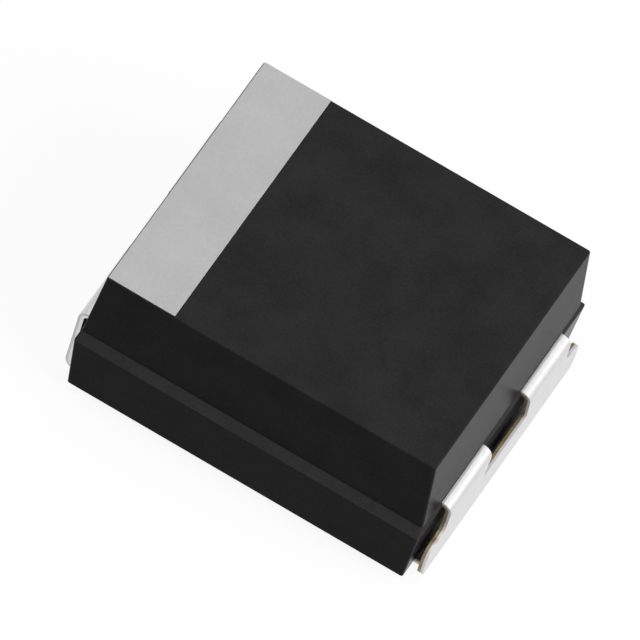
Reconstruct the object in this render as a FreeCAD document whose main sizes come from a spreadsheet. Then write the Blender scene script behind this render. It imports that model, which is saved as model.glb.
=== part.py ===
"""Moulded tantalum chip capacitor: two folded lead-frame terminals, the coated slug between them and
the epoxy case that is moulded round it all. Millimetres, +X towards the cathode, board at z = 0."""

import FreeCAD, Part

import math
import os
from types import SimpleNamespace

import Sketcher

# Driving sizes: name, value in millimetres or degrees, and what it measures.
SIZES = (
    ("case_length", 3.215, "lower half of the case at the parting land"),
    ("case_width", 2.80, "lower half of the case at the parting land"),
    ("upper_height", 0.775, "parting land to the top face"),
    ("land_height", 0.07, "sloping parting land"),
    ("lower_height", 0.64, "underside to the parting land"),
    ("standoff", 0.10, "board to the underside of the case"),
    ("land_end", 0.0175, "step of the parting land at each end"),
    ("land_side", 0.075, "step of the parting land at each long side"),
    ("upper_end_draft", 4.4, "mould draft in degrees, upper half, ends"),
    ("upper_side_draft", 2.4, "mould draft in degrees, upper half, long sides"),
    ("lower_end_draft", 3.4, "mould draft in degrees, lower half, ends"),
    ("lower_side_draft", 4.2, "mould draft in degrees, lower half, long sides"),
    ("lead_thickness", 0.05, "sheet of the lead frame"),
    ("leg_reach", 0.09, "end of the case to the outside of the leg"),
    ("foot_length", 0.80, "outside of the leg to the end of the foot"),
    ("foot_bend", 0.06, "inside radius between leg and foot"),
    ("prong_spread", 2.0, "across the outsides of the two prongs"),
    ("slot_width", 0.62, "gap between the two prongs at the case"),
    ("slot_flare", 0.05, "how much each wall of the gap leans away towards its foot"),
    ("slot_drop", 0.33, "top of the lead to the foot of the gap"),
    ("slot_inside", 0.25, "how far the gap reaches into the case"),
    ("web_length", 0.12, "bridge between the prongs inside the case"),
    ("wing_drop", 0.33, "top of the lead to the top edge of the cathode leg's wings"),
    ("wing_fillet", 0.11, "inside corner between prong and wing"),
    ("wing_ledge", 0.03, "straight top edge of the wing"),
    ("wing_shoulder", 0.13, "radius of the wing's upper corner"),
    ("wing_corner", 0.17, "radius of the wing's lower corner, and its step out from the foot"),
    ("anode_width", 2.30, "anode leg and foot"),
    ("riser_bend", 0.05, "inside radius at both ends of the cathode lead's riser"),
    ("pad_length", 0.95, "riser to the end of the pad under the slug"),
    ("pad_margin", 0.25, "side of the slug to the side of the pad"),
    ("tongue_width", 0.90, "anode lead under the wire"),
    ("tongue_gap", 0.30, "face of the slug to the end of the tongue"),
    ("top_wall", 0.19, "epoxy above the coated slug"),
    ("bottom_wall", 0.175, "epoxy under the cathode pad"),
    ("side_wall", 0.32, "epoxy beside the coated slug at the parting land"),
    ("anode_room", 1.02, "anode end of the case to the slug"),
    ("slug_radius", 0.06, "rounded edges of the pressed slug"),
    ("dioxide_layer", 0.03, "manganese dioxide"),
    ("graphite_layer", 0.015, "graphite"),
    ("silver_layer", 0.02, "silver paint"),
    ("coat_step", 0.08, "how far each outer coat stops short of the one under it"),
    ("adhesive_layer", 0.03, "silver adhesive between coat and lead"),
    ("adhesive_rise", 0.22, "height of the adhesive behind the riser"),
    ("adhesive_margin", 0.06, "edge of the pad to the edge of the adhesive"),
    ("wire_diameter", 0.20, "anode wire"),
    ("wire_embed", 0.70, "wire inside the slug"),
    ("wire_clear", 0.05, "end of the wire to the inner end of the gap between the prongs"),
    ("weld_depth", 0.02, "flat that the weld leaves on the wire"),
    ("washer_diameter", 0.60, "insulating washer on the wire"),
    ("washer_thickness", 0.10, "insulating washer on the wire"),
    ("stripe_length", 0.63, "polarity stripe along the case"),
    ("stripe_thickness", 0.01, "printed layer of the stripe"),
)


class Size:
    """A value together with the sheet formula that gives it."""

    def __init__(self, value, formula):
        self.value = value
        self.formula = formula

    def __add__(self, other):
        return Size(self.value + other.value, f"({self.formula} + {other.formula})")

    def __sub__(self, other):
        return Size(self.value - other.value, f"({self.formula} - {other.formula})")

    def __neg__(self):
        return Size(-self.value, f"(-{self.formula})")

    def __mul__(self, factor):
        return Size(self.value * factor, f"({self.formula} * {factor})")

    def __truediv__(self, factor):
        return Size(self.value / factor, f"({self.formula} / {factor})")


ZERO = Size(0.0, "0")
TOUCH = 1e-4  # how near two places count as the same


def draft_run(angle, height):
    """How far a face with this draft angle leans in over a height."""
    lean = math.tan(math.radians(angle.value)) * height.value
    return Size(lean, f"(tan({angle.formula} * 1 deg) * {height.formula})")


doc = FreeCAD.newDocument("tantalum_capacitor")
sheet = doc.addObject("Spreadsheet::Sheet", "sizes")
for row, (name, value, meaning) in enumerate(SIZES, start=1):
    sheet.set(f"A{row}", name)
    sheet.set(f"B{row}", str(value))
    sheet.setAlias(f"B{row}", name)
    sheet.set(f"C{row}", meaning)
doc.recompute()
dim = SimpleNamespace(**{name: Size(value, f"sizes.{name}") for name, value, _ in SIZES})

# Levels and places of the case and of the lead frame.
half_sheet = dim.lead_thickness / 2
lead_bottom = dim.standoff + dim.lower_height
lead_top = lead_bottom + dim.lead_thickness
lead_middle = lead_bottom + half_sheet
land_top = lead_bottom + dim.land_height
case_top = land_top + dim.upper_height
case_end = dim.case_length / 2
outer_plane = case_end + dim.leg_reach
slot_start = case_end - dim.slot_inside
web_start = slot_start - dim.web_length
prong_side = dim.prong_spread / 2
shoulder_side = prong_side + dim.wing_fillet + dim.wing_ledge
wing_side = shoulder_side + dim.wing_shoulder
foot_side = wing_side - dim.wing_corner

upper_length = dim.case_length - dim.land_end * 2
upper_width = dim.case_width - dim.land_side * 2
top_length = upper_length - draft_run(dim.upper_end_draft, dim.upper_height) * 2
top_width = upper_width - draft_run(dim.upper_side_draft, dim.upper_height) * 2
bottom_length = dim.case_length - draft_run(dim.lower_end_draft, dim.lower_height) * 2
bottom_width = dim.case_width - draft_run(dim.lower_side_draft, dim.lower_height) * 2

# Levels and places of the slug, its coats, the wire and the cathode pad.
graphite_depth = dim.dioxide_layer + dim.graphite_layer
coat_depth = graphite_depth + dim.silver_layer
riser_radius = dim.riser_bend + half_sheet
riser_face = web_start - riser_radius - half_sheet
pad_end = riser_face - dim.pad_length
pad_middle = dim.standoff + dim.bottom_wall + half_sheet
pad_top = pad_middle + half_sheet
slug_left = dim.anode_room - case_end
slug_right = riser_face - dim.adhesive_layer - coat_depth
slug_bottom = pad_top + dim.adhesive_layer + coat_depth
slug_top = case_top - dim.top_wall - coat_depth
slug_width = upper_width - (dim.side_wall + coat_depth) * 2
pad_width = slug_width - dim.pad_margin * 2
wire_axis = lead_top + dim.wire_diameter / 2 - dim.weld_depth


def bind(thing, path, size):
    """Drive one property of an object from the sheet."""
    thing.setExpression(path, size.formula)


def spot(across, up):
    """A point of a sketch."""
    return FreeCAD.Vector(across.value, up.value, 0)


def new_body(name):
    """An empty body with its own label."""
    body = doc.addObject("PartDesign::Body", name)
    body.Label = name
    return body


def origin_plane(body, role):
    """One of the body's own origin planes."""
    return next(part for part in body.Origin.OriginFeatures if part.Role == role)


def new_sketch(body, name, role, distance=ZERO):
    """A sketch on one of the body's origin planes, moved along the plane's normal."""
    sketch = body.newObject("Sketcher::SketchObject", name)
    sketch.AttachmentSupport = [(origin_plane(body, role), "")]
    sketch.MapMode = "FlatFace"
    sketch.AttachmentOffset = FreeCAD.Placement(FreeCAD.Vector(0, 0, distance.value), FreeCAD.Rotation())
    bind(sketch, ".AttachmentOffset.Base.z", distance)
    return sketch


def constrain(sketch, kind, *where, size):
    """Add one dimension and drive it from the sheet."""
    number = sketch.addConstraint(Sketcher.Constraint(kind, *where, size.value))
    sketch.renameConstraint(number, f"d{number}")
    bind(sketch, f".Constraints.d{number}", size)


def place(sketch, geometry, point, across, up):
    """Fix one point of the sketch by its two coordinates."""
    constrain(sketch, "DistanceX", geometry, point, size=across)
    constrain(sketch, "DistanceY", geometry, point, size=up)


def line(sketch, start, end):
    """A straight edge between two points."""
    return sketch.addGeometry(Part.LineSegment(start, end), False)


def arc(sketch, centre, radius, start_angle, end_angle):
    """A round edge of a given radius, anticlockwise between two angles in degrees."""
    circle = Part.Circle(centre, FreeCAD.Vector(0, 0, 1), radius.value)
    ends = math.radians(start_angle), math.radians(end_angle)
    bend = sketch.addGeometry(Part.ArcOfCircle(circle, *ends), False)
    constrain(sketch, "Radius", bend, size=radius)
    return bend


def outline(sketch, corners, rounds=None):
    """A closed outline with every corner placed. Its rounds give the centre, radius and angles of an edge
    that is an arc, run against the clock or with it, under the edge's number."""
    edges = []
    for number, (start, end) in enumerate(zip(corners, corners[1:] + corners[:1])):
        if rounds and number in rounds:
            centre, radius, angles = rounds[number]
            first_point = 2 if angles[0] > angles[1] else 1
            edges.append((arc(sketch, spot(*centre), radius, *sorted(angles)), first_point))
        else:
            edges.append((line(sketch, spot(*start), spot(*end)), 1))
    for (edge, first), (following, next_first) in zip(edges, edges[1:] + edges[:1]):
        sketch.addConstraint(Sketcher.Constraint("Coincident", edge, 3 - first, following, next_first))
    for (edge, first), (across, up) in zip(edges, corners):
        place(sketch, edge, first, across, up)


def rectangle(sketch, left, right, low, high):
    """A rectangle between two places across and two up."""
    outline(sketch, [(left, low), (right, low), (right, high), (left, high)])


def join(sketch, first, first_point, second, second_point):
    """Two edges meet end to end and run on smoothly."""
    sketch.addConstraint(Sketcher.Constraint("Tangent", first, first_point, second, second_point))


def strip(body, name, width, path):
    """A strip of the lead frame's sheet, bent along a folding line that starts at the web."""
    section = new_sketch(body, f"{name}_section", "YZ_Plane", web_start)
    rectangle(section, -(width / 2), width / 2, lead_bottom, lead_top)
    run = body.newObject("PartDesign::AdditivePipe", name)
    run.Profile = section
    run.Spine = (path, [f"Edge{number + 1}" for number in range(path.GeometryCount)])
    return run


def cut_away(body, sketch, name):
    """Everything on the outer side of the sketch that lies within its outline is cut away."""
    pocket = body.newObject("PartDesign::Pocket", name)
    pocket.Profile = sketch
    pocket.Type = "ThroughAll"
    pocket.Reversed = True
    return pocket


def outer_path(body, name):
    """Folding line outside: out of the case, over the bend, straight down as a leg, under as a foot."""
    exit_radius = dim.leg_reach - half_sheet
    foot_radius = dim.foot_bend + half_sheet
    leg_middle = outer_plane - half_sheet
    leg_top = lead_middle - exit_radius
    leg_low = half_sheet + foot_radius
    foot_start = leg_middle - foot_radius
    foot_end = outer_plane - dim.foot_length

    path = new_sketch(body, name, "XZ_Plane")
    lead = line(path, spot(web_start, lead_middle), spot(case_end, lead_middle))
    exit_bend = arc(path, spot(case_end, leg_top), exit_radius, 0, 90)
    leg = line(path, spot(leg_middle, leg_top), spot(leg_middle, leg_low))
    foot_bend = arc(path, spot(foot_start, leg_low), foot_radius, -90, 0)
    foot = line(path, spot(foot_start, half_sheet), spot(foot_end, half_sheet))
    join(path, lead, 2, exit_bend, 2)
    join(path, exit_bend, 1, leg, 1)
    join(path, leg, 2, foot_bend, 2)
    join(path, foot_bend, 1, foot, 1)
    path.addConstraint(Sketcher.Constraint("Horizontal", lead))
    path.addConstraint(Sketcher.Constraint("Vertical", leg))
    path.addConstraint(Sketcher.Constraint("Horizontal", foot))
    place(path, lead, 1, web_start, lead_middle)
    constrain(path, "DistanceX", lead, 2, size=case_end)
    place(path, foot, 2, foot_end, half_sheet)
    return path


def riser_path(body, name):
    """Folding line inside the cathode end: over a bend, down, and flat under the slug as a pad."""
    riser_middle = web_start - riser_radius
    riser_top = lead_middle - riser_radius
    riser_low = pad_middle + riser_radius
    pad_start = riser_middle - riser_radius

    path = new_sketch(body, name, "XZ_Plane")
    upper_bend = arc(path, spot(web_start, riser_top), riser_radius, 90, 180)
    riser = line(path, spot(riser_middle, riser_top), spot(riser_middle, riser_low))
    lower_bend = arc(path, spot(pad_start, riser_low), riser_radius, -90, 0)
    pad = line(path, spot(pad_start, pad_middle), spot(pad_end, pad_middle))
    join(path, upper_bend, 2, riser, 1)
    join(path, riser, 2, lower_bend, 2)
    join(path, lower_bend, 1, pad, 1)
    path.addConstraint(Sketcher.Constraint("Vertical", riser))
    path.addConstraint(Sketcher.Constraint("Horizontal", pad))
    place(path, upper_bend, 1, web_start, lead_middle)
    constrain(path, "DistanceX", upper_bend, 3, size=web_start)
    place(path, pad, 2, pad_end, pad_middle)
    return path


def cut_slot(body):
    """The gap between the prongs, from inside the case over the bend and down the leg."""
    sketch = new_sketch(body, "slot_outline", "YZ_Plane", slot_start)
    side = dim.slot_width / 2
    low_side = side + dim.slot_flare
    low = lead_top - dim.slot_drop
    above = lead_top + dim.lead_thickness
    corners = [(-side, above), (-side, lead_top), (-low_side, low)]
    corners += [(low_side, low), (side, lead_top), (side, above)]
    outline(sketch, corners)
    return cut_away(body, sketch, "slot")


def cut_wings(body):
    """The sheet beside the prongs goes down to a filleted wing with a round upper and lower corner."""
    beyond = wing_side + dim.lead_thickness
    above = lead_top + dim.lead_thickness
    wing_top = lead_top - dim.wing_drop
    fillet_top = wing_top + dim.wing_fillet
    fillet_side = prong_side + dim.wing_fillet
    shoulder_low = wing_top - dim.wing_shoulder
    upper = new_sketch(body, "wing_outline", "YZ_Plane")
    corners = [(prong_side, above), (prong_side, fillet_top), (fillet_side, wing_top)]
    corners += [(shoulder_side, wing_top), (wing_side, shoulder_low)]
    corners += [(beyond, shoulder_low), (beyond, above)]
    fillet = (fillet_side, fillet_top), dim.wing_fillet, (180, 270)
    shoulder = (shoulder_side, shoulder_low), dim.wing_shoulder, (90, 0)
    outline(upper, corners, {1: fillet, 3: shoulder})
    upper_cut = cut_away(body, upper, "wing_top")

    corner_top = dim.lead_thickness + dim.wing_corner
    lower = new_sketch(body, "corner_outline", "YZ_Plane")
    corners = [(foot_side, -dim.lead_thickness), (foot_side, dim.lead_thickness), (wing_side, corner_top)]
    corners += [(beyond, corner_top), (beyond, -dim.lead_thickness)]
    outline(lower, corners, {1: ((foot_side, corner_top), dim.wing_corner, (-90, 0))})
    lower_cut = cut_away(body, lower, "wing_corner")

    mirror = body.newObject("PartDesign::Mirrored", "other_side")
    mirror.Originals = [upper_cut, lower_cut]
    mirror.MirrorPlane = (origin_plane(body, "XZ_Plane"), [""])
    body.Tip = mirror


def cathode_terminal():
    """One folded strip: foot, leg with wings, two prongs, web, riser and the pad under the slug."""
    body = new_body("cathode_terminal")
    strip(body, "leg", wing_side * 2, outer_path(body, "leg_path"))
    cut_slot(body)
    cut_wings(body)
    strip(body, "pad", pad_width, riser_path(body, "pad_path"))
    return body


def anode_terminal():
    """One folded strip: foot, leg, two prongs, web and the tongue under the wire, at the other end."""
    body = new_body("anode_terminal")
    strip(body, "leg", dim.anode_width, outer_path(body, "leg_path"))
    cut_slot(body)
    tongue_end = dim.tongue_gap - slug_left
    section = new_sketch(body, "tongue_section", "YZ_Plane", tongue_end)
    rectangle(section, -(dim.tongue_width / 2), dim.tongue_width / 2, lead_bottom, lead_top)
    tongue = body.newObject("PartDesign::Pad", "tongue")
    tongue.Profile = section
    bind(tongue, "Length", web_start - tongue_end)
    body.Placement = FreeCAD.Placement(FreeCAD.Vector(), FreeCAD.Rotation(FreeCAD.Vector(0, 0, 1), 180))
    return body


def case_outside():
    """The mould's form: lower half, sloping parting land and upper half, each with its own draft."""
    body = new_body("case_outside")
    levels = (
        ("underside", bottom_length, bottom_width, dim.standoff),
        ("lower_rim", dim.case_length, dim.case_width, lead_bottom),
        ("upper_rim", upper_length, upper_width, land_top),
        ("top", top_length, top_width, case_top),
    )
    sections = []
    for name, length, width, level in levels:
        section = new_sketch(body, name, "XY_Plane", level)
        rectangle(section, -(length / 2), length / 2, -(width / 2), width / 2)
        sections.append(section)
    loft = body.newObject("PartDesign::AdditiveLoft", "halves")
    loft.Profile = sections[0]
    loft.Sections = sections[1:]
    loft.Ruled = True
    return body


def slug_block(name, start, depth):
    """The slug's form grown by a coat's depth, from a place along its length to its rounded cathode end."""
    body = new_body(name)
    radius = dim.slug_radius + depth
    side = slug_width / 2 + depth
    low = slug_bottom - depth
    high = slug_top + depth
    section = new_sketch(body, f"{name}_section", "YZ_Plane", start)
    rectangle(section, -side, side, low, high)
    block = body.newObject("PartDesign::Pad", f"{name}_block")
    block.Profile = section
    bind(block, "Length", slug_right + depth - start)
    doc.recompute()
    end = slug_right.value + depth.value - TOUCH
    edges = block.Shape.Edges
    keep = [number for number, edge in enumerate(edges, 1) if edge.BoundBox.XMax > end]
    rounding = body.newObject("PartDesign::Fillet", f"{name}_edges")
    rounding.Base = (block, [f"Edge{number}" for number in keep])
    bind(rounding, "Radius", radius)
    return body


def rod(name, diameter, start, length):
    """A round bar on the wire's axis."""
    bar = doc.addObject("Part::Cylinder", name)
    bar.Placement = FreeCAD.Placement(
        FreeCAD.Vector(start.value, 0, wire_axis.value), FreeCAD.Rotation(FreeCAD.Vector(0, 1, 0), 90)
    )
    bind(bar, "Radius", diameter / 2)
    bind(bar, "Height", length)
    bind(bar, ".Placement.Base.x", start)
    bind(bar, ".Placement.Base.z", wire_axis)
    return bar


def box(name, left, right, width, low, high):
    """A block across the middle of the part."""
    block = doc.addObject("Part::Box", name)
    bind(block, "Length", right - left)
    bind(block, "Width", width)
    bind(block, "Height", high - low)
    bind(block, ".Placement.Base.x", left)
    bind(block, ".Placement.Base.y", -(width / 2))
    bind(block, ".Placement.Base.z", low)
    return block


def union(name, pieces):
    """Several solids as one."""
    together = doc.addObject("Part::MultiFuse", name)
    together.Shapes = pieces
    return together


def without(name, base, tool):
    """A solid with the room of another one taken out of it."""
    rest = doc.addObject("Part::Cut", name)
    rest.Label = name
    rest.Base = base
    rest.Tool = tool
    return rest


cathode = cathode_terminal()
anode = anode_terminal()

wire_start = dim.wire_clear - slot_start
wire_rod = rod("wire_rod", dim.wire_diameter, wire_start, slug_left + dim.wire_embed - wire_start)
washer_start = slug_left - dim.washer_thickness
washer_rod = rod("washer_rod", dim.washer_diameter, washer_start, dim.washer_thickness)
slug_form = slug_block("slug_form", slug_left, ZERO)
dioxide_form = slug_block("dioxide_form", slug_left - dim.dioxide_layer, dim.dioxide_layer)
graphite_form = slug_block("graphite_form", slug_left + dim.coat_step, graphite_depth)
silver_form = slug_block("silver_form", slug_left + dim.coat_step * 2, coat_depth)
adhesive_form = box(
    "adhesive_form",
    pad_end + dim.adhesive_margin,
    riser_face,
    pad_width - dim.adhesive_margin * 2,
    pad_top,
    pad_top + dim.adhesive_rise,
)
core = union("core", [slug_form, wire_rod, washer_rod])
soldered = union("soldered", [silver_form, cathode])
inserts = union(
    "inserts",
    [anode, cathode, wire_rod, washer_rod, dioxide_form, graphite_form, silver_form, adhesive_form],
)

stripe = box(
    "polarity_stripe",
    -(top_length / 2),
    dim.stripe_length - top_length / 2,
    top_width,
    case_top,
    case_top + dim.stripe_thickness,
)

parts = [
    without("moulded_case", case_outside(), inserts),
    stripe,
    anode,
    cathode,
    without("tantalum_wire", wire_rod, anode),
    without("wire_washer", washer_rod, wire_rod),
    without("tantalum_slug", slug_form, wire_rod),
    without("manganese_dioxide_coat", dioxide_form, core),
    without("graphite_coat", graphite_form, dioxide_form),
    without("silver_coat", silver_form, graphite_form),
    without("silver_adhesive", adhesive_form, soldered),
]
doc.recompute()

for item in doc.Objects:
    if "Invalid" in item.State or "Error" in item.State:
        raise RuntimeError(f"{item.Name} did not recompute: {item.State}")
for piece in parts:
    if piece.Shape.isNull() or not piece.Shape.isValid():
        raise RuntimeError(f"{piece.Label} has no valid shape")

os.makedirs("parts", exist_ok=True)
for piece in parts:
    piece.Shape.exportStep(f"parts/{piece.Label}.step")
    print(f"{piece.Label}: {len(piece.Shape.Solids)} solid, {piece.Shape.Volume:.4f} mm3")
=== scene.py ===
"""Looks of a moulded tantalum chip capacitor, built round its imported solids.

The case, the polarity stripe and the two folded terminals are fine surfaces worked out with numpy. The
pieces sealed inside the case keep their solids and get the finish of the real material.
"""

import logging
import math
from dataclasses import dataclass
from enum import Enum

import bpy
import numpy as np
from mathutils import Matrix, Vector


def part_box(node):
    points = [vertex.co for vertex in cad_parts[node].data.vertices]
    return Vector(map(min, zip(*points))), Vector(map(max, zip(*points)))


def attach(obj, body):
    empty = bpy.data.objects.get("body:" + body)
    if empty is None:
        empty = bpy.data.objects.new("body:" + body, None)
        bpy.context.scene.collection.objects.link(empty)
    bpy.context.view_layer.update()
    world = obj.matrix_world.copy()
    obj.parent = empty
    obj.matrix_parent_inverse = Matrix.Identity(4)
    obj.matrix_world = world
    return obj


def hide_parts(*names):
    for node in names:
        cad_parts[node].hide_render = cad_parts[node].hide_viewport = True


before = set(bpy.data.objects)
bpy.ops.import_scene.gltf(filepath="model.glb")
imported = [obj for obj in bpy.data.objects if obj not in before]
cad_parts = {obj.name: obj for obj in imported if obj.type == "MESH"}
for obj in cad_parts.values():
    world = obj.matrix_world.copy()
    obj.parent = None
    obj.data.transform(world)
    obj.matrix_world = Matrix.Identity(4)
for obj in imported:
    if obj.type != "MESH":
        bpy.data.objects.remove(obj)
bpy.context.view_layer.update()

LOG = logging.getLogger("tantalum_capacitor")
BODY = "root"
MM = 0.001
QUARTER_TURN = math.pi / 2
# Blender's noise keeps mostly to the first range, and the sum of two noises to the second.
NOISE_RANGE = (0.3, 0.7)
NOISE_SUM_RANGE = (0.7, 1.3)
# Edges that turn more than this many degrees are sharp, and get their rounding in this many strips.
SHARP_EDGE = 40
BURR_STRIPS = 2
# Corners less than this many millimetres apart are one: a bevel leaves such pairs where it runs out.
EMPTY_EDGE = 0.00003
# Weighted normals go by area at 50, and at 100 the largest faces decide.
LARGEST_FACES = 100
# Digits of a millimetre to which rows of a strip count as one.
DISTANCE_DIGITS = 6
# A Mix node's sockets: its share, the two numbers or colours that it blends, and the blended colour.
SHARE, NUMBER_A, NUMBER_B, COLOUR_A, COLOUR_B = 0, 2, 3, 6, 7
COLOUR_RESULT = 2
# The camera sees from its distance over this up to its distance times this.
CLIP_RATIO = 10


def linear(hex_colour: str) -> tuple[float, float, float, float]:
    """Turn an sRGB hex colour into Blender's linear colour.

    A channel up to 0.04045 is divided by 12.92. A higher one is 0.055 more, divided by 1.055, to the
    power of 2.4.

    Args:
        hex_colour: Colour written as #rrggbb.

    Returns:
        Linear red, green, blue and an alpha of 1.
    """
    srgb = np.array([int(hex_colour[i : i + 2], 16) for i in (1, 3, 5)]) / 255.0
    flat = np.where(srgb <= 0.04045, srgb / 12.92, ((srgb + 0.055) / 1.055) ** 2.4)
    return (*(float(channel) for channel in flat), 1.0)


def per_metre(size_mm: float) -> float:
    """Give the texture scale at which one cell of a pattern measures size_mm."""
    return 1.0 / (size_mm * MM)


def add_node(
    tree: bpy.types.NodeTree, kind: str, links: dict | None = None, **settings
) -> bpy.types.Node:
    """Add one node with its settings, its socket values and its links.

    Args:
        tree: Node tree that gets the node.
        kind: Blender's name of the node type.
        links: Socket name or number, each with a value or with an output socket to join to it.
        settings: Properties of the node itself.

    Returns:
        The new node.
    """
    node = tree.nodes.new(kind)
    for name, value in settings.items():
        setattr(node, name, value)
    for socket, value in (links or {}).items():
        if isinstance(value, bpy.types.NodeSocket):
            tree.links.new(value, node.inputs[socket])
        else:
            node.inputs[socket].default_value = value
    return node


def new_material(name: str) -> tuple[bpy.types.Material, bpy.types.NodeTree]:
    """Make an empty node material and return it with its tree."""
    material = bpy.data.materials.new(name)
    material.use_nodes = True
    material.node_tree.nodes.clear()
    return material, material.node_tree


def surface(tree: bpy.types.NodeTree, shader: bpy.types.NodeSocket) -> None:
    """Join a shader to the tree's material output."""
    add_node(tree, "ShaderNodeOutputMaterial", {"Surface": shader})


def noise(
    tree: bpy.types.NodeTree,
    place: bpy.types.NodeSocket,
    size_mm: float,
    detail: float,
    roughness: float,
) -> bpy.types.NodeSocket:
    """Add a noise whose cells measure size_mm.

    Args:
        tree: Node tree that gets the nodes.
        place: Coordinates that the noise is laid on.
        size_mm: Width of one cell.
        detail: How many finer octaves there are.
        roughness: How strong each finer octave is.

    Returns:
        The noise's value.
    """
    links = {"Vector": place, "Scale": per_metre(size_mm), "Detail": detail, "Roughness": roughness}
    return add_node(tree, "ShaderNodeTexNoise", links).outputs["Fac"]


def map_range(
    tree: bpy.types.NodeTree,
    value: bpy.types.NodeSocket,
    source: tuple[float, float],
    target: tuple[float, float],
) -> bpy.types.NodeSocket:
    """Carry a value from one range to another in a straight line, held at both ends.

    Args:
        tree: Node tree that gets the node.
        value: The value.
        source: Range that it comes from.
        target: Range that it goes to.

    Returns:
        The mapped value.
    """
    ranges = {"From Min": source[0], "From Max": source[1], "To Min": target[0], "To Max": target[1]}
    return add_node(tree, "ShaderNodeMapRange", {"Value": value, **ranges}).outputs["Result"]


def greater(tree: bpy.types.NodeTree, *values: bpy.types.NodeSocket) -> bpy.types.NodeSocket:
    """Give the greater of two values."""
    return add_node(tree, "ShaderNodeMath", dict(enumerate(values)), operation="MAXIMUM").outputs[0]


@dataclass(frozen=True)
class Finish:
    """A surface with grain: a colour that wanders between two tones, a roughness and a fine relief.

    Attributes:
        name: The real material and how its surface was made.
        dark: Darker tone, sRGB hex.
        pale: Paler tone, sRGB hex.
        grain_mm: Width of one grain of the relief.
        mottle_mm: Width of one patch of the colour's drift.
        relief_mm: Height of the grain.
        roughness: Lowest and highest roughness.
        metallic: 1 for bare metal, 0 for anything else.
        specular: Specular level, 0.5 for the plain Fresnel of the IOR.
        ior: Index of refraction.
        stretch: Scale of the pattern's coordinates along X, Y and Z; below 1 it draws the grain out.
    """

    name: str
    dark: str
    pale: str
    grain_mm: float
    mottle_mm: float
    relief_mm: float
    roughness: tuple[float, float]
    metallic: float = 0.0
    specular: float = 0.5
    ior: float = 1.5
    stretch: tuple[float, float, float] = (1.0, 1.0, 1.0)

    def material(self) -> bpy.types.Material:
        """Build the node material.

        The colour goes from dark to pale with the sum of a fine and a coarse noise, the roughness with
        the fine one, and the relief's height is the fine one times the relief's depth.

        Returns:
            The material, patterned on Object coordinates.
        """
        material, tree = new_material(self.name)
        place = add_node(tree, "ShaderNodeTexCoord").outputs["Object"]
        mapping = {"Vector": place, "Scale": self.stretch}
        stretched = add_node(tree, "ShaderNodeMapping", mapping).outputs["Vector"]
        grain = noise(tree, stretched, self.grain_mm, detail=3.0, roughness=0.6)
        mottle = noise(tree, stretched, self.mottle_mm, detail=4.0, roughness=0.55)
        both = add_node(tree, "ShaderNodeMath", {0: grain, 1: mottle}, operation="ADD").outputs[0]
        tone = map_range(tree, both, NOISE_SUM_RANGE, (0.0, 1.0))
        tones = {SHARE: tone, COLOUR_A: linear(self.dark), COLOUR_B: linear(self.pale)}
        colour = add_node(tree, "ShaderNodeMix", tones, data_type="RGBA").outputs[COLOUR_RESULT]
        rough = map_range(tree, grain, NOISE_RANGE, self.roughness)
        bump = {"Height": grain, "Distance": self.relief_mm * MM, "Strength": 1.0}
        relief = add_node(tree, "ShaderNodeBump", bump).outputs["Normal"]
        shader = add_node(
            tree,
            "ShaderNodeBsdfPrincipled",
            {
                "Base Color": colour,
                "Roughness": rough,
                "Normal": relief,
                "Metallic": self.metallic,
                "IOR": self.ior,
                "Specular IOR Level": self.specular,
            },
        )
        surface(tree, shader.outputs["BSDF"])
        return material


# Silica-filled epoxy as it leaves the mould: near black from above, with a sheen only at a low angle.
MOULDED_EPOXY = Finish(
    name="epoxy_moulding_compound",
    dark="#262626",
    pale="#303030",
    grain_mm=0.022,
    mottle_mm=0.35,
    relief_mm=0.0006,
    roughness=(0.18, 0.26),
    specular=0.0135,
)
# The parting land after its flash was blasted off: the same epoxy, roughened and without sheen, paler
# partly from the blasting and partly as painted light against the upper half's shade.
BLASTED_AND_PAINTED_PALER_EPOXY = Finish(
    name="epoxy_blasted_and_painted_paler",
    dark="#303030",
    pale="#3a3a3a",
    grain_mm=0.016,
    mottle_mm=0.2,
    relief_mm=0.0012,
    roughness=(0.5, 0.65),
    specular=0.0135,
)
# Pad-printed ink: opaque pale grey that follows the mould's grain under it.
STRIPE_INK = Finish(
    name="pad_printed_ink",
    dark="#b1b1b1",
    pale="#bbbbbb",
    grain_mm=0.03,
    mottle_mm=0.3,
    relief_mm=0.0004,
    roughness=(0.6, 0.75),
    specular=0.3,
)
# Matt tin plated on nickel-iron sheet: bright, with soft reflections from its fine crystals.
MATT_TIN = Finish(
    name="matt_tin_plating",
    dark="#d0d0d0",
    pale="#dadada",
    grain_mm=0.018,
    mottle_mm=0.12,
    relief_mm=0.0002,
    roughness=(0.28, 0.4),
    metallic=1.0,
)
# Tin that the press smeared over the outer part of a sheared edge: the same metal, scored and duller.
SMEARED_TIN = Finish(
    name="tin_smeared_by_the_press",
    dark="#c4c4c2",
    pale="#d2d2d0",
    grain_mm=0.012,
    mottle_mm=0.06,
    relief_mm=0.0006,
    roughness=(0.55, 0.7),
    metallic=1.0,
)
# Where the press sheared the strip the bare alloy shows, brownish and torn.
SHEARED_ALLOY = Finish(
    name="sheared_lead_frame_edge",
    dark="#74664c",
    pale="#9a8b70",
    grain_mm=0.02,
    mottle_mm=0.08,
    relief_mm=0.0015,
    roughness=(0.45, 0.65),
    metallic=1.0,
)
# Drawn wire: grey, with fine bright lines along its length.
DRAWN_TANTALUM = Finish(
    name="drawn_tantalum_wire",
    dark="#8a8d94",
    pale="#a2a5ab",
    grain_mm=0.01,
    mottle_mm=0.1,
    relief_mm=0.0006,
    roughness=(0.3, 0.45),
    metallic=1.0,
    stretch=(0.1, 1.0, 1.0),
)
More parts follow.
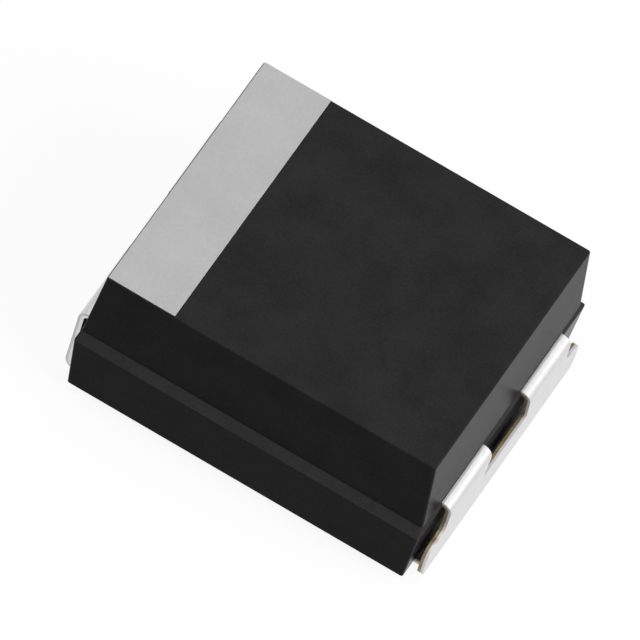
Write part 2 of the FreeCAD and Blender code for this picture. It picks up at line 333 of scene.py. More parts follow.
# Pressed and sintered powder: dark grey and grainy, with no clear reflection.
SINTERED_TANTALUM = Finish(
    name="sintered_tantalum_powder",
    dark="#4c4f55",
    pale="#74777e",
    grain_mm=0.02,
    mottle_mm=0.1,
    relief_mm=0.006,
    roughness=(0.6, 0.85),
    metallic=1.0,
)
# Manganese dioxide fired on in layers: a dull brown-black crust.
MANGANESE_DIOXIDE = Finish(
    name="manganese_dioxide_film",
    dark="#161412",
    pale="#2a2724",
    grain_mm=0.03,
    mottle_mm=0.15,
    relief_mm=0.004,
    roughness=(0.7, 0.9),
)
# Graphite from a dip: smooth dark grey with a faint sheen.
GRAPHITE_COAT = Finish(
    name="dipped_graphite",
    dark="#2b2b2d",
    pale="#3c3c3f",
    grain_mm=0.015,
    mottle_mm=0.2,
    relief_mm=0.001,
    roughness=(0.4, 0.55),
)
# Silver paint from a dip: pale, with the soft lustre of small flakes.
SILVER_PAINT = Finish(
    name="dipped_silver_paint",
    dark="#b9b8b2",
    pale="#d2d1cb",
    grain_mm=0.02,
    mottle_mm=0.2,
    relief_mm=0.002,
    roughness=(0.4, 0.6),
    metallic=1.0,
)
# Silver-filled adhesive, squeezed out and cured: duller and lumpier than the paint.
SILVER_GLUE = Finish(
    name="cured_silver_adhesive",
    dark="#a3a29b",
    pale="#c0bfb8",
    grain_mm=0.03,
    mottle_mm=0.12,
    relief_mm=0.004,
    roughness=(0.45, 0.65),
    metallic=1.0,
)
# Fluoropolymer skived from a rod: milky white and slightly waxy.
FLUOROPOLYMER = Finish(
    name="skived_fluoropolymer",
    dark="#dcdcd8",
    pale="#ececea",
    grain_mm=0.02,
    mottle_mm=0.15,
    relief_mm=0.0008,
    roughness=(0.35, 0.5),
    ior=1.35,
)


def finish_piece(piece: bpy.types.Object, slot: str, *nodes: str) -> bpy.types.Object:
    """Let a new piece ride on the part and stand for its solids.

    Args:
        piece: The object, in place.
        slot: Not used.
        nodes: Solids that the piece stands for.

    Returns:
        The same object.
    """
    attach(piece, BODY)
    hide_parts(*nodes)
    return piece


def new_piece(
    name: str,
    points: np.ndarray,
    faces: list,
    materials: list,
    face_material: np.ndarray | None = None,
    burr_radius: float = 0.0,
) -> bpy.types.Object:
    """Make a smooth-shaded mesh object from points in millimetres.

    Blender's bevel works to about a thousandth of its unit, so the mesh is finished in millimetres and
    brought to metres last. Weighted normals keep flat faces flat and let only the rounded edges turn.

    Args:
        name: Name of the piece.
        points: Corners in millimetres, one row each.
        faces: Corner numbers of each face.
        materials: Materials of the piece.
        face_material: Number of each face's material, all 0 if left out.
        burr_radius: Rounding of every sharp edge in millimetres, 0 for none.

    Returns:
        The linked object, in metres, at the origin.
    """
    mesh = bpy.data.meshes.new(name)
    mesh.from_pydata(points.tolist(), [], faces)
    for material in materials:
        mesh.materials.append(material)
    if face_material is not None:
        mesh.polygons.foreach_set("material_index", face_material.astype(np.int32))
    mesh.polygons.foreach_set("use_smooth", np.ones(len(mesh.polygons), bool))
    mesh.update()
    blank = bpy.data.objects.new(f"{name}_blank", mesh)
    bpy.context.scene.collection.objects.link(blank)
    if burr_radius:
        burr = blank.modifiers.new("burr", "BEVEL")
        burr.width = burr_radius
        burr.segments = BURR_STRIPS
        burr.limit_method = "ANGLE"
        burr.angle_limit = math.radians(SHARP_EDGE)
        blank.modifiers.new("no_empty_edges", "WELD").merge_threshold = EMPTY_EDGE
    blank.modifiers.new("flat_faces", "WEIGHTED_NORMAL").weight = LARGEST_FACES
    evaluated = blank.evaluated_get(bpy.context.evaluated_depsgraph_get())
    finished = bpy.data.meshes.new_from_object(evaluated)
    bpy.data.objects.remove(blank)
    finished.transform(Matrix.Scale(MM, 4))
    finished.name = name
    piece = bpy.data.objects.new(name, finished)
    bpy.context.scene.collection.objects.link(piece)
    return piece


def tube_faces(rows: int, columns: int) -> list:
    """Close rings of corners, one above the other, into a skin with a flat face at each end.

    Args:
        rows: Number of rings, from the lowest up.
        columns: Corners of each ring, anticlockwise seen from above.

    Returns:
        Corner numbers of each face, outward.
    """
    number = np.arange(rows * columns).reshape(rows, columns)
    following = np.roll(number, -1, axis=1)
    sides = np.stack([number[:-1], following[:-1], following[1:], number[1:]], axis=-1)
    return sides.reshape(-1, 4).tolist() + [number[0, ::-1].tolist(), number[-1].tolist()]


def round_corners(corners: np.ndarray, radii: np.ndarray, steps: int) -> np.ndarray:
    """Round the inner corners of an open outline with arcs tangent to both of their sides.

    The arc's centre lies on the corner's bisector, at radius over the sine of half the corner's angle.
    A point at a share of the arc is the first spoke times the sine of what is left of the sweep, plus
    the last spoke times the sine of what is done, over the sine of the sweep.

    Args:
        corners: Outline, one row for each corner; the first and last stay as they are.
        radii: Radius at each inner corner.
        steps: Pieces of each arc.

    Returns:
        The rounded outline, with the same number of points at every corner.
    """
    here = corners[1:-1]
    before = corners[:-2] - here
    after = corners[2:] - here
    before /= np.linalg.norm(before, axis=1)[:, None]
    after /= np.linalg.norm(after, axis=1)[:, None]
    half = np.arccos(np.clip((before * after).sum(1), -1, 1)) / 2
    bisector = before + after
    bisector /= np.linalg.norm(bisector, axis=1)[:, None]
    centres = here + bisector * (radii / np.sin(half))[:, None]
    tangent = (radii / np.tan(half))[:, None]
    first_spoke = (here + before * tangent - centres)[:, None]
    last_spoke = (here + after * tangent - centres)[:, None]
    share = np.linspace(0, 1, steps + 1)[None, :, None]
    sweep = (math.pi - 2 * half)[:, None, None]
    turned = np.sin((1 - share) * sweep) * first_spoke + np.sin(share * sweep) * last_spoke
    middle = (centres[:, None] + turned / np.sin(sweep)).reshape(-1, corners.shape[1])
    return np.vstack([corners[:1], middle, corners[-1:]])


@dataclass
class Case:
    """The epoxy case: two drafted halves, the parting land between them and their small mould radii.

    Attributes:
        land_height: Height of the sloping parting land.
        lower_height: Underside to the land.
        land_end: Step of the land at each end.
        land_side: Step of the land at each long side.
        upper_end_draft: Draft in degrees of the upper half at the ends.
        upper_side_draft: Draft in degrees of the upper half at the long sides.
        lower_end_draft: Draft in degrees of the lower half at the ends.
        lower_side_draft: Draft in degrees of the lower half at the long sides.
        edge_radii: Radii at the underside's edge, the land's outer and inner edge and the top's edge.
        upright_radius: Radius of the four upright edges.
        edge_steps: Pieces of each rounded edge.
    """

    land_height: float = 0.07
    lower_height: float = 0.64
    land_end: float = 0.0175
    land_side: float = 0.075
    upper_end_draft: float = 4.4
    upper_side_draft: float = 2.4
    lower_end_draft: float = 3.4
    lower_side_draft: float = 4.2
    edge_radii: tuple[float, float, float, float] = (0.016, 0.008, 0.006, 0.014)
    upright_radius: float = 0.02
    edge_steps: int = 4

    def __post_init__(self) -> None:
        """Read the case's box from the frame."""
        low, high = (np.array(corner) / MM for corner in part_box("moulded_case"))
        self.half_length, self.half_width = high[:2]
        self.underside, self.top = low[2], high[2]
        self.lead_bottom = self.underside + self.lower_height
        self.land_top = self.lead_bottom + self.land_height

    def profile(self, half: float, step: float, upper_draft: float, lower_draft: float) -> np.ndarray:
        """Work out half of the case's section across two opposite sides, from underside to top.

        Args:
            half: Half of the case's size at the land's outer edge.
            step: Step of the land.
            upper_draft: Draft of the upper half in degrees.
            lower_draft: Draft of the lower half in degrees.

        Returns:
            Distance from the middle and height of each point.
        """
        lower_run = self.lower_height * math.tan(math.radians(lower_draft))
        upper_run = (self.top - self.land_top) * math.tan(math.radians(upper_draft))
        corners = np.array(
            [
                (0.0, self.underside),
                (half - lower_run, self.underside),
                (half, self.lead_bottom),
                (half - step, self.land_top),
                (half - step - upper_run, self.top),
                (0.0, self.top),
            ]
        )
        return round_corners(corners, np.array(self.edge_radii), self.edge_steps)[1:-1]

    def build(self, finish: Finish, land_finish: Finish) -> bpy.types.Object:
        """Carry the section round a rectangle with rounded corners.

        Each upright corner turns through a quarter circle. At an angle a round it, x is the length's
        profile less the upright radius times one minus cos a, y is the width's profile less that radius
        times one minus sin a, and the height slides from one profile to the other with sin squared.

        Args:
            finish: Finish of the epoxy.
            land_finish: Finish of the land, up to the middle of its two rounded edges; paler partly as
                painted light that lifts the upper half's shade on it.

        Returns:
            The case.
        """
        end_drafts = self.upper_end_draft, self.lower_end_draft
        side_drafts = self.upper_side_draft, self.lower_side_draft
        along = self.profile(self.half_length, self.land_end, *end_drafts)
        across = self.profile(self.half_width, self.land_side, *side_drafts)
        turn = np.linspace(0, QUARTER_TURN, self.edge_steps + 1)
        quarter_x = along[:, :1] - self.upright_radius * (1 - np.cos(turn))
        quarter_y = across[:, :1] - self.upright_radius * (1 - np.sin(turn))
        height = along[:, 1:] * np.cos(turn) ** 2 + across[:, 1:] * np.sin(turn) ** 2
        back = slice(None, None, -1)
        ring_x = np.hstack([quarter_x, -quarter_x[:, back], -quarter_x, quarter_x[:, back]])
        ring_y = np.hstack([quarter_y, quarter_y[:, back], -quarter_y, -quarter_y[:, back]])
        ring_z = np.hstack([height, height[:, back], height, height[:, back]])
        points = np.stack([ring_x, ring_y, ring_z], axis=-1)
        rows, columns = points.shape[:2]
        faces = tube_faces(rows, columns)
        row = np.arange(len(faces)) // columns
        land_start = self.edge_steps + 1 + self.edge_steps // 2
        on_land = (row >= land_start) & (row <= land_start + self.edge_steps)
        # The land's finish is paler partly as painted light, lifting the shade that the upper half's wall
        # casts on it.
        materials = [finish.material(), land_finish.material()]
        piece = new_piece("case_skin", points.reshape(-1, 3), faces, materials, on_land)
        return finish_piece(piece, "moulded_epoxy", "moulded_case")


@dataclass
class Stripe:
    """The printed band over the anode end of the top.

    Attributes:
        case: The case that it is printed on.
        edge_radius: Radius of the ink's edge.
        margin: How far the ink stays inside the top's rounded edge.
    """

    case: Case
    edge_radius: float = 0.004
    margin: float = 0.008

    def build(self, finish: Finish) -> bpy.types.Object:
        """Make the ink layer: a slab whose upper edge turns down in a quarter circle.

        At an angle a round that edge the slab is narrower by the radius times one minus cos a on each
        side, and lower than its top by the radius times one minus sin a.

        Args:
            finish: Finish of the ink.

        Returns:
            The stripe.
        """
        low, high = (np.array(corner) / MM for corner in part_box("polarity_stripe"))
        low[:2] += self.margin
        high[1] -= self.margin
        turn = np.linspace(0, QUARTER_TURN, self.case.edge_steps + 1)
        inset = np.append(0.0, self.edge_radius * (1 - np.cos(turn)))
        level = np.append(low[2], high[2] - self.edge_radius * (1 - np.sin(turn)))
        left, right = low[0] + inset, high[0] - inset
        front, back = low[1] + inset, high[1] - inset
        ring_x = np.stack([right, right, left, left], axis=1)
        ring_y = np.stack([front, back, back, front], axis=1)
        points = np.stack([ring_x, ring_y, np.repeat(level[:, None], 4, axis=1)], axis=-1)
        faces = tube_faces(*points.shape[:2])
        piece = new_piece("stripe_ink_layer", points.reshape(-1, 3), faces, [finish.material()])
        return finish_piece(piece, "stripe_ink", "polarity_stripe")


class End(Enum):
    """The two ends of the part, each with the sign of its X."""

    CATHODE = 1
    ANODE = -1


@dataclass
class FoldingLine:
    """The middle line of a bent strip: straight runs and arcs, one after the other, in the XZ plane.

    The angle tells how far the sheet's outer side is turned from +Z towards +X.

    Attributes:
        start: X and Z of the first point.
        runs: Length and turn in radians of each run; a run with no turn is straight.
    """

    start: tuple[float, float]
    runs: list[tuple[float, float]]

    def __post_init__(self) -> None:
        """Work out where each run begins."""
        lengths, turns = (np.array(column) for column in zip(*self.runs))
        self.begins = np.append(0.0, np.cumsum(lengths))
        self.angles = np.append(0.0, np.cumsum(turns))
        straight = np.full(len(turns), np.inf)
        self.radii = np.divide(lengths, turns, out=straight, where=turns != 0)
        self.places = np.array([self.start], float)
        for number, length in enumerate(lengths):
            run_end = self.run_point(np.array([length]), np.array([number]))
            self.places = np.vstack([self.places, run_end])

    def run_point(self, distance: np.ndarray, run: np.ndarray) -> np.ndarray:
        """Give the point at a distance along a run.

        On an arc it is the run's first point plus the signed radius times the change of the angle's sine
        for X and of its cosine for Z; on a straight run it is the distance times cosine and minus sine.

        Args:
            distance: Distance from the run's first point.
            run: Number of the run.

        Returns:
            X and Z, one row for each distance.
        """
        first = self.angles[run]
        is_straight = np.isinf(self.radii[run])
        radius = np.where(is_straight, 1.0, self.radii[run])
        angle = first + distance / radius
        bent = np.stack([np.sin(angle) - np.sin(first), np.cos(angle) - np.cos(first)], axis=1)
        plain = np.stack([np.cos(first), -np.sin(first)], axis=1)
        step = np.where(is_straight[:, None], plain * distance[:, None], bent * radius[:, None])
        return self.places[run] + step

    def at(self, distance: np.ndarray) -> tuple[np.ndarray, np.ndarray]:
        """Give points and angles at distances along the whole line.

        Args:
            distance: Distances from the start.

        Returns:
            X and Z of each point, and the angle there.
        """
        run = np.searchsorted(self.begins, distance, side="right") - 1
        run = np.clip(run, 0, len(self.runs) - 1)
        along = distance - self.begins[run]
        return self.run_point(along, run), self.angles[run] + along / self.radii[run]


@dataclass
class Terminal:
    """One folded strip of the lead frame, from inside the case over the bend and down to its foot.

    Attributes:
        case: The case that it is moulded into.
        end: Which end it stands at.
        thickness: Sheet thickness.
        leg_reach: End of the case to the outside of the leg.
        foot_length: Outside of the leg to the end of the foot.
        foot_bend: Inside radius between leg and foot.
        prong_half: Middle to the outside of the cathode's prong.
        slot_half: Middle to the inside of a prong at the case.
        slot_flare: How much the gap widens on each side towards its foot.
        slot_drop: Top of the lead to the foot of the gap.
        slot_inside: How far the gap reaches into the case.
        web_length: Bridge between the prongs inside the case.
        wing_drop: Top of the lead to the top edge of the cathode leg's wings.
        wing_fillet: Inside corner between prong and wing.
        wing_ledge: Straight top edge of the wing.
        wing_shoulder: Radius of the wing's upper corner.
        wing_corner: Radius of the wing's lower corner, and its step out from the foot.
        anode_half: Middle to the side of the anode's prongs, leg and foot.
        riser_bend: Inside radius at both ends of the cathode lead's riser.
        pad_half: Middle to the side of the pad under the slug.
        tongue_half: Middle to the side of the anode's tongue.
        burr_radius: Rounding that the press leaves along the sheet's edges.
        plated_share: Share of each sheared edge over which the press drags the plating.
        bend_steps: Pieces of each bend and of each round outline.
        column_width: Widest cell across the strip.
    """

    case: Case
    end: End
    thickness: float = 0.05
    leg_reach: float = 0.09
    foot_length: float = 0.80
    foot_bend: float = 0.06
    prong_half: float = 1.0
    slot_half: float = 0.31
    slot_flare: float = 0.05
    slot_drop: float = 0.33
    slot_inside: float = 0.25
    web_length: float = 0.12
    wing_drop: float = 0.33
    wing_fillet: float = 0.11
    wing_ledge: float = 0.03
    wing_shoulder: float = 0.13
    wing_corner: float = 0.17
    anode_half: float = 1.15
    riser_bend: float = 0.05
    pad_half: float = 0.69
    tongue_half: float = 0.45
    burr_radius: float = 0.006
    plated_share: float = 0.45
    bend_steps: int = 24
    column_width: float = 0.08

    def __post_init__(self) -> None:
        """Read the solid's reach from the frame and work out the levels."""
        self.node = f"{self.end.name.lower()}_terminal"
        low, high = (np.array(corner) / MM * self.end.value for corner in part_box(self.node))
        self.inside = min(low[0], high[0])
        self.top = self.case.lead_bottom + self.thickness
        self.level = self.case.lead_bottom + self.thickness / 2
        self.web_start = self.case.half_length - self.slot_inside - self.web_length
        self.gap_foot = self.top - self.slot_drop
        self.wing_top = self.top - self.wing_drop
        wing_half = self.prong_half + self.wing_fillet + self.wing_ledge + self.wing_shoulder
        self.foot_half = wing_half - self.wing_corner

    def inner_runs(self) -> tuple[tuple[float, float], list[tuple[float, float]]]:
        """Give the first point and the runs inside the case, up to the web.

        Returns:
            The first point, and the length and turn of each run: for the cathode the pad, two bends and
            the riser between them, for the anode the straight tongue.
        """
        if self.end is End.ANODE:
            return (self.inside, self.level), [(self.web_start - self.inside, 0.0)]
        radius = self.riser_bend + self.thickness / 2
        bend = radius * QUARTER_TURN
        pad_level = self.pad_corners()[:, 2].min() + self.thickness / 2
        pad = self.web_start - 2 * radius - self.inside
        riser = self.level - pad_level - 2 * radius
        runs = [(pad, 0.0), (bend, -QUARTER_TURN), (riser, 0.0), (bend, QUARTER_TURN)]
        return (self.inside, pad_level), runs

    def pad_corners(self) -> np.ndarray:
        """Read the corners at the inner end of the solid, which are the pad's.

        Returns:
            Corners in millimetres, one row each.
        """
        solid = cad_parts[self.node].data.vertices
        corners = np.empty(len(solid) * 3)
        solid.foreach_get("co", corners)
        corners = corners.reshape(-1, 3) / MM
        return corners[corners[:, 0] < self.inside + self.thickness]

    def folding_line(self) -> FoldingLine:
        """Lay out the strip's middle line from its inner end to the end of its foot.

        A bend's length is its radius to the middle of the sheet times a quarter turn, and a straight
        run is what the two bends beside it leave of its whole.

        Returns:
            The line: inner runs, web, gap, exit bend, leg, foot bend and foot.
        """
        start, runs = self.inner_runs()
        exit_radius = self.leg_reach - self.thickness / 2
        foot_radius = self.foot_bend + self.thickness / 2
        leg = self.level - exit_radius - foot_radius - self.thickness / 2
        foot = self.foot_length - self.thickness / 2 - foot_radius
        self.web_run = len(runs)
        runs += [(self.web_length, 0.0), (self.slot_inside, 0.0)]
        runs += [(exit_radius * QUARTER_TURN, QUARTER_TURN)]
        self.leg_run = len(runs)
        runs += [(leg, 0.0), (foot_radius * QUARTER_TURN, QUARTER_TURN), (foot, 0.0)]
        return FoldingLine(start, runs)

    def rows(self, line: FoldingLine) -> tuple[np.ndarray, np.ndarray]:
        """Choose the distances along the line at which the strip gets a row of corners.

        Every bend is cut evenly. On the leg the rows crowd towards the end of each round corner, at
        heights of its radius times one minus the sine of an even angle.

        Args:
            line: The folding line.

        Returns:
            The distances, and the four of them at which the outline changes: the web's start, the gap's
            inner end, the gap's foot and the wing's top.
        """
        leg_start, leg_end = line.begins[[self.leg_run, self.leg_run + 1]]
        leg_top = line.places[self.leg_run, 1]
        quarter = 1 - np.sin(np.linspace(0, QUARTER_TURN, self.bend_steps))
        round_heights = np.concatenate(
            [
                self.wing_top + self.wing_fillet * quarter,
                self.wing_top - self.wing_shoulder * quarter,
                self.thickness + self.wing_corner * quarter,
                [self.gap_foot, self.wing_top],
            ]
        )
        down_leg = leg_start + leg_top - round_heights
        down_leg = down_leg[down_leg < leg_end]
        bends = [
            np.linspace(begin, finish, self.bend_steps + 1)
            for begin, finish, radius in zip(line.begins[:-1], line.begins[1:], line.radii)
            if not math.isinf(radius)
        ]
        inner_changes = line.begins[[self.web_run, self.web_run + 1]]
        leg_changes = leg_start + leg_top - np.array([self.gap_foot, self.wing_top])
        distances = np.concatenate([line.begins, down_leg, *bends]).round(DISTANCE_DIGITS)
        return np.unique(distances), np.append(inner_changes, leg_changes)

    def edges(
        self, height: np.ndarray, distance: np.ndarray, changes: np.ndarray
    ) -> np.ndarray:
        """Give the distances from the middle at which the strip's outline runs, row by row.

        The gap's side leans out evenly from the top of the lead to the gap's foot. The prong's side ends
        in a fillet, which steps out by its radius less the root of radius squared minus rise squared.
        Below the wing's top that line lies within the sheet and fades back to the prong's width. The
        wing steps in from its end by the same term at its shoulder, with the climb, and at its lower
        corner, with the fall. The anode's prong and leg are straight, one as wide as the other.

        Args:
            height: Height of each row.
            distance: Distance of each row along the folding line.
            changes: Distances at which the outline changes.

        Returns:
            Gap side, inner run's side, prong side and wing side of each row.
        """
        after_web = distance > changes[1]
        drop = np.clip((self.top - height) / self.slot_drop, 0, 1)
        gap = self.slot_half + np.where(after_web, self.slot_flare * drop, 0.0)
        if self.end is End.ANODE:
            sides = self.tongue_half, self.anode_half, self.anode_half + self.column_width
            inner, prong, wing = (np.full_like(gap, side) for side in sides)
        else:
            sides = self.pad_half, self.prong_half, self.foot_half
            inner, prong, wing = (np.full_like(gap, side) for side in sides)
            rise = np.clip(self.wing_top + self.wing_fillet - height, 0, self.wing_fillet)
            bow = self.wing_fillet - np.sqrt(self.wing_fillet**2 - rise**2)
            corner_top = self.thickness + self.wing_corner
            fade = np.clip((height - corner_top) / (self.wing_top - corner_top), 0, 1)
            prong += np.where(after_web, bow * fade, 0.0)
            fall = np.clip(corner_top - height, 0, self.wing_corner)
            wing += np.sqrt(self.wing_corner**2 - fall**2)
            climb = np.clip(height - self.wing_top + self.wing_shoulder, 0, self.wing_shoulder)
            wing -= self.wing_shoulder - np.sqrt(self.wing_shoulder**2 - climb**2)
        return np.stack([gap, inner, prong, wing], axis=1)

    def grid(self) -> tuple[np.ndarray, np.ndarray]:
        """Lay the blank out as a grid of cells and bend it along the folding line.

        Each corner is the folding line's point, moved along the sine and cosine of the angle there by half
        the sheet for the outer face, minus half for the inner one, and to the plating's end between them.

        Returns:
            Corners by row, column, depth in the sheet and coordinate, and which cells hold metal.
        """
        line = self.folding_line()
        distance, changes = self.rows(line)
        place, angle = line.at(distance)
        sides = self.edges(place[:, 1], distance, changes)
        across = np.hstack([-sides[:, ::-1], sides])
        cells = np.ceil(np.diff(across, axis=1).max(0) / self.column_width)
        cells = np.maximum(1, cells.astype(int))
        steps = [number + np.arange(1, count + 1) / count for number, count in enumerate(cells)]
        column = np.concatenate([[0.0], *steps])
        left = np.minimum(column.astype(int), len(cells) - 1)
        part = column - left
        width = across[:, left] * (1 - part) + across[:, left + 1] * part
        outward = np.stack([np.sin(angle), np.cos(angle)], axis=1) * self.thickness / 2
        plating_end = place + outward * (1 - 2 * self.plated_share)
        faces = np.stack([place + outward, plating_end, place - outward], axis=1)
        corners = np.empty((len(distance), len(column), 3, 3))
        corners[..., 0] = faces[:, None, :, 0]
        corners[..., 1] = width[:, :, None]
        corners[..., 2] = faces[:, None, :, 1]

        # Bands count outwards: 0 the gap, 1 out to the inner run's side, 2 the prong's, 3 the wing's. Zones
        # go down the strip: inner run, web, prongs, below the gap, below the wing's top.
        zone = np.searchsorted(changes, (distance[:-1] + distance[1:]) / 2)
        band = np.repeat([3, 2, 1, 0, 1, 2, 3], cells)
        lowest_zone_band = 3 if self.end is End.CATHODE else 2
        widest = np.array([1, 2, 2, 2, lowest_zone_band])[zone]
        narrowest = np.array([0, 0, 1, 0, 0])[zone]
        metal = (band <= widest[:, None]) & (band >= narrowest[:, None])
        return corners, metal

    def build(self, plating: Finish, smeared: Finish, cut: Finish) -> bpy.types.Object:
        """Close the bent grid into a solid sheet: two sides, and a wall wherever metal ends.

        Args:
            plating: Finish of the sheet's two sides.
            smeared: Finish of the outer part of its sheared edges.
            cut: Finish of the rest of the sheared edges.

        Returns:
            The terminal.
        """
        corners, metal = self.grid()
        corners[..., :2] *= self.end.value
        number = np.arange(corners[..., 0].size).reshape(corners.shape[:3])
        ring = np.stack(
            [number[:-1, :-1], number[:-1, 1:], number[1:, 1:], number[1:, :-1]], axis=2
        )
        outer = ring[metal][:, :, 0]
        inner = ring[metal][:, ::-1, 2]
        padded = np.pad(metal, 1)
        beside = [padded[:-2, 1:-1], padded[1:-1, 2:], padded[2:, 1:-1], padded[1:-1, :-2]]
        plated, bare = [], []
        for side, neighbour in enumerate(beside):
            open_side = ring[metal & ~neighbour]
            first, second = open_side[:, side], open_side[:, (side + 1) % 4]
            plated.append(np.stack([first[:, 0], second[:, 0], second[:, 1], first[:, 1]], axis=1))
            bare.append(np.stack([first[:, 1], second[:, 1], second[:, 2], first[:, 2]], axis=1))
        zones = [np.vstack([outer, inner])[:, ::-1], np.vstack(plated), np.vstack(bare)]
        faces = np.vstack(zones)
        face_material = np.repeat(np.arange(3), [len(zone) for zone in zones])
        used, faces = np.unique(faces, return_inverse=True)
        points = corners.reshape(-1, 3)[used]
        piece = new_piece(
            f"{self.end.name.lower()}_lead",
            points,
            faces.reshape(-1, 4).tolist(),
            [plating.material(), smeared.material(), cut.material()],
            face_material,
            self.burr_radius,
        )
        return finish_piece(piece, "tinned_lead", self.node)


@dataclass(frozen=True)
class Core:
    """What is sealed inside the case: its solids stay as they are and get their real finishes."""

    finishes: tuple[tuple[str, Finish], ...] = (
        ("tantalum_wire", DRAWN_TANTALUM),
        ("wire_washer", FLUOROPOLYMER),
        ("tantalum_slug", SINTERED_TANTALUM),
        ("manganese_dioxide_coat", MANGANESE_DIOXIDE),
        ("graphite_coat", GRAPHITE_COAT),
        ("silver_coat", SILVER_PAINT),
        ("silver_adhesive", SILVER_GLUE),
    )

    def dress(self) -> list[str]:
        """Give each solid its finish.

        Returns:
            Names of the solids.
        """
        for node, finish in self.finishes:
            material = finish.material()
            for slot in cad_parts[node].material_slots:
                slot.material = material
        return [node for node, _ in self.finishes]


@dataclass(frozen=True)
class Lamp:
    """A soft box that faces the part.

    Attributes:
        name: Name of the lamp.
        azimuth: Where it stands, in degrees: 0 in front, 90 at the right end.
        elevation: Height above the horizon in degrees.
        distance: Distance from the part in millimetres.
        size: Side of the box in millimetres.
        level: Light on a surface that faces it, where 1 shows a colour as it is written.
    """

    name: str
    azimuth: float
    elevation: float
    distance: float
    size: float
    level: float

    def build(self) -> bpy.types.Object:
        """Make the lamp.

        A small square lamp of power P lights a facing surface at distance d with P over pi d squared,
        and a white surface shows that light over pi. So the power is the level times pi d, squared.

        Returns:
            The lamp object.
        """
        light = bpy.data.lights.new(self.name, "AREA")
        light.shape = "SQUARE"
        light.size = self.size * MM
        light.energy = self.level * (math.pi * self.distance * MM) ** 2
        lamp = bpy.data.objects.new(self.name, light)
        bpy.context.scene.collection.objects.link(lamp)
        direction = view_direction(self.azimuth, self.elevation)
        lamp.location = direction * self.distance * MM
        lamp.rotation_euler = direction.to_track_quat("Z", "Y").to_euler()
        return lamp


def view_direction(azimuth: float, elevation: float) -> Vector:
    """Give the direction from the part to a viewer at an azimuth and elevation in degrees."""
    turn, rise = math.radians(azimuth), math.radians(elevation)
    level = math.cos(rise)
    return Vector((math.sin(turn) * level, -math.cos(turn) * level, math.sin(rise)))


@dataclass(frozen=True)
class Camera:
    """The camera at the photograph's angle.

    Attributes:
        azimuth: Where it stands, in degrees to the right of the front.
        elevation: Height above the horizon in degrees.
        roll: How far the part's upright leans to the right in the picture, in degrees.
        distance: Distance from the middle of the footprint, along the view, in millimetres.
        aim_right: How far to the picture's right of the footprint's middle it aims, in millimetres.
        aim_up: How far above the footprint's middle it aims in the picture, in millimetres.
        lens: Focal length for the sensor's width, in millimetres.
        sensor: Sensor width in millimetres.
    """

    azimuth: float = 14.356
    elevation: float = 54.854
    roll: float = 18.343
    distance: float = 178.930
    aim_right: float = 0.0505
    aim_up: float = 0.4214
    lens: float = 1250.9
    sensor: float = 36.0

    def build(self) -> bpy.types.Object:
        """Make the camera and set it as the scene's.

        Returns:
            The camera object.
        """
        back = view_direction(self.azimuth, self.elevation)
        level_right = Vector((0, 0, 1)).cross(back).normalized()
        level_up = back.cross(level_right)
        roll = math.radians(self.roll)
        right = level_right * math.cos(roll) + level_up * math.sin(roll)
        up = level_up * math.cos(roll) - level_right * math.sin(roll)
        lens = bpy.data.cameras.new("camera")
        lens.lens = self.lens
        lens.sensor_width = self.sensor
        lens.clip_start = self.distance * MM / CLIP_RATIO
        lens.clip_end = self.distance * MM * CLIP_RATIO
        camera = bpy.data.objects.new("camera", lens)
        bpy.context.scene.collection.objects.link(camera)
        place = (right * self.aim_right + up * self.aim_up + back * self.distance) * MM
        turned = Matrix((right, up, back)).transposed().to_4x4()
        camera.matrix_world = Matrix.Translation(place) @ turned
        bpy.context.scene.camera = camera
        return camera


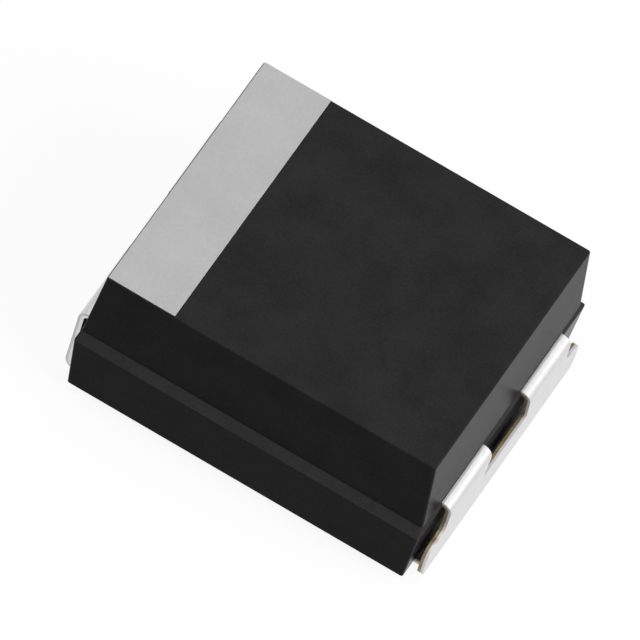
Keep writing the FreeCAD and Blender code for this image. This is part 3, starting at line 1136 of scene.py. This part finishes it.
@dataclass(frozen=True)
class Studio:
    """A white table under a soft sky, with soft boxes above, at the right and behind.

    Attributes:
        lamps: The soft boxes.
        sky_level: Brightness of the sky as light on the part.
        horizon: Brightness of the sky at the horizon in reflections.
        haze_top: Sine of the elevation from which the sky is white in reflections.
        table: Colour of the table as the part sees it by diffuse light.
        table_lift: White added to the table for camera and reflections.
        table_size: Side of the table in millimetres.
        table_drop: How far the table lies under the feet, in millimetres.
    """

    lamps: tuple[Lamp, ...] = (
        Lamp("overhead", azimuth=15, elevation=76, distance=150, size=140, level=0.515),
        Lamp("right", azimuth=84, elevation=35, distance=150, size=100, level=0.6),
        Lamp("side", azimuth=100, elevation=12, distance=150, size=200, level=0.34),
        Lamp("back", azimuth=165, elevation=55, distance=150, size=120, level=0.045),
    )
    sky_level: float = 0.22
    horizon: float = 0.7
    haze_top: float = 0.6
    table: str = "#5a5a5a"
    table_lift: float = 0.9
    table_size: float = 600
    table_drop: float = 0.001

    def seen_directly(self, tree: bpy.types.NodeTree) -> bpy.types.NodeSocket:
        """Give 1 for camera, glossy and transmission rays and 0 for the rest."""
        rays = add_node(tree, "ShaderNodeLightPath").outputs
        camera_or_glossy = greater(tree, rays["Is Camera Ray"], rays["Is Glossy Ray"])
        return greater(tree, camera_or_glossy, rays["Is Transmission Ray"])

    def build_table(self) -> bpy.types.Object:
        """Lay the white table, which keeps the part's shadow.

        Camera and reflections see its plain colour by the light on it, plus the lift; the part's diffuse
        light sees the plain colour alone.

        Returns:
            The table.
        """
        material, tree = new_material("white_table")
        plain = add_node(tree, "ShaderNodeBsdfDiffuse", {"Color": linear(self.table)}).outputs[0]
        white = {"Color": linear("#ffffff"), "Strength": self.table_lift}
        lift = add_node(tree, "ShaderNodeEmission", white).outputs[0]
        both = add_node(tree, "ShaderNodeAddShader", {0: plain, 1: lift}).outputs[0]
        seen = {0: self.seen_directly(tree), 1: plain, 2: both}
        surface(tree, add_node(tree, "ShaderNodeMixShader", seen).outputs[0])
        half = self.table_size / 2 * MM
        level = -self.table_drop * MM
        corners = [(x, y, level) for x, y in ((-half, -half), (half, -half), (half, half), (-half, half))]
        mesh = bpy.data.meshes.new("table")
        mesh.from_pydata(corners, [], [(0, 1, 2, 3)])
        mesh.materials.append(material)
        table = bpy.data.objects.new("table", mesh)
        bpy.context.scene.collection.objects.link(table)
        return table

    def build_sky(self) -> None:
        """Make the sky: white to the camera, greyer towards the horizon in reflections, dim as light."""
        world = bpy.data.worlds.new("sky")
        world.use_nodes = True
        tree = world.node_tree
        tree.nodes.clear()
        rays = add_node(tree, "ShaderNodeLightPath").outputs
        direction = add_node(tree, "ShaderNodeTexCoord").outputs["Generated"]
        height = add_node(tree, "ShaderNodeSeparateXYZ", {0: direction}).outputs["Z"]
        glow = map_range(tree, height, (0.0, self.haze_top), (self.horizon, 1.0))
        light = {SHARE: rays["Is Glossy Ray"], NUMBER_A: self.sky_level, NUMBER_B: glow}
        by_light = add_node(tree, "ShaderNodeMix", light).outputs[0]
        view = {SHARE: rays["Is Camera Ray"], NUMBER_A: by_light, NUMBER_B: 1.0}
        level = add_node(tree, "ShaderNodeMix", view).outputs[0]
        shader = add_node(tree, "ShaderNodeBackground", {"Color": linear("#ffffff"), "Strength": level})
        add_node(tree, "ShaderNodeOutputWorld", {"Surface": shader.outputs[0]})
        bpy.context.scene.world = world

    def build(self) -> None:
        """Set up table, sky and lamps, and leave colours as they are written."""
        self.build_table()
        self.build_sky()
        for lamp in self.lamps:
            lamp.build()
        bpy.context.scene.view_settings.view_transform = "Standard"


def main() -> None:
    """Build the part's pieces and its studio."""
    logging.basicConfig(level=logging.INFO, format="%(name)s: %(message)s")
    Camera().build()
    Studio().build()
    case = Case()
    pieces = [
        case.build(MOULDED_EPOXY, BLASTED_AND_PAINTED_PALER_EPOXY),
        Stripe(case).build(STRIPE_INK),
        Terminal(case, End.CATHODE).build(MATT_TIN, SMEARED_TIN, SHEARED_ALLOY),
        Terminal(case, End.ANODE).build(MATT_TIN, SMEARED_TIN, MATT_TIN),
    ]
    for piece in pieces:
        LOG.info("%s: %d faces", piece.name, len(piece.data.polygons))
    for node in Core().dress():
        LOG.info("%s: dressed", node)


if __name__ == "__main__":
    main()
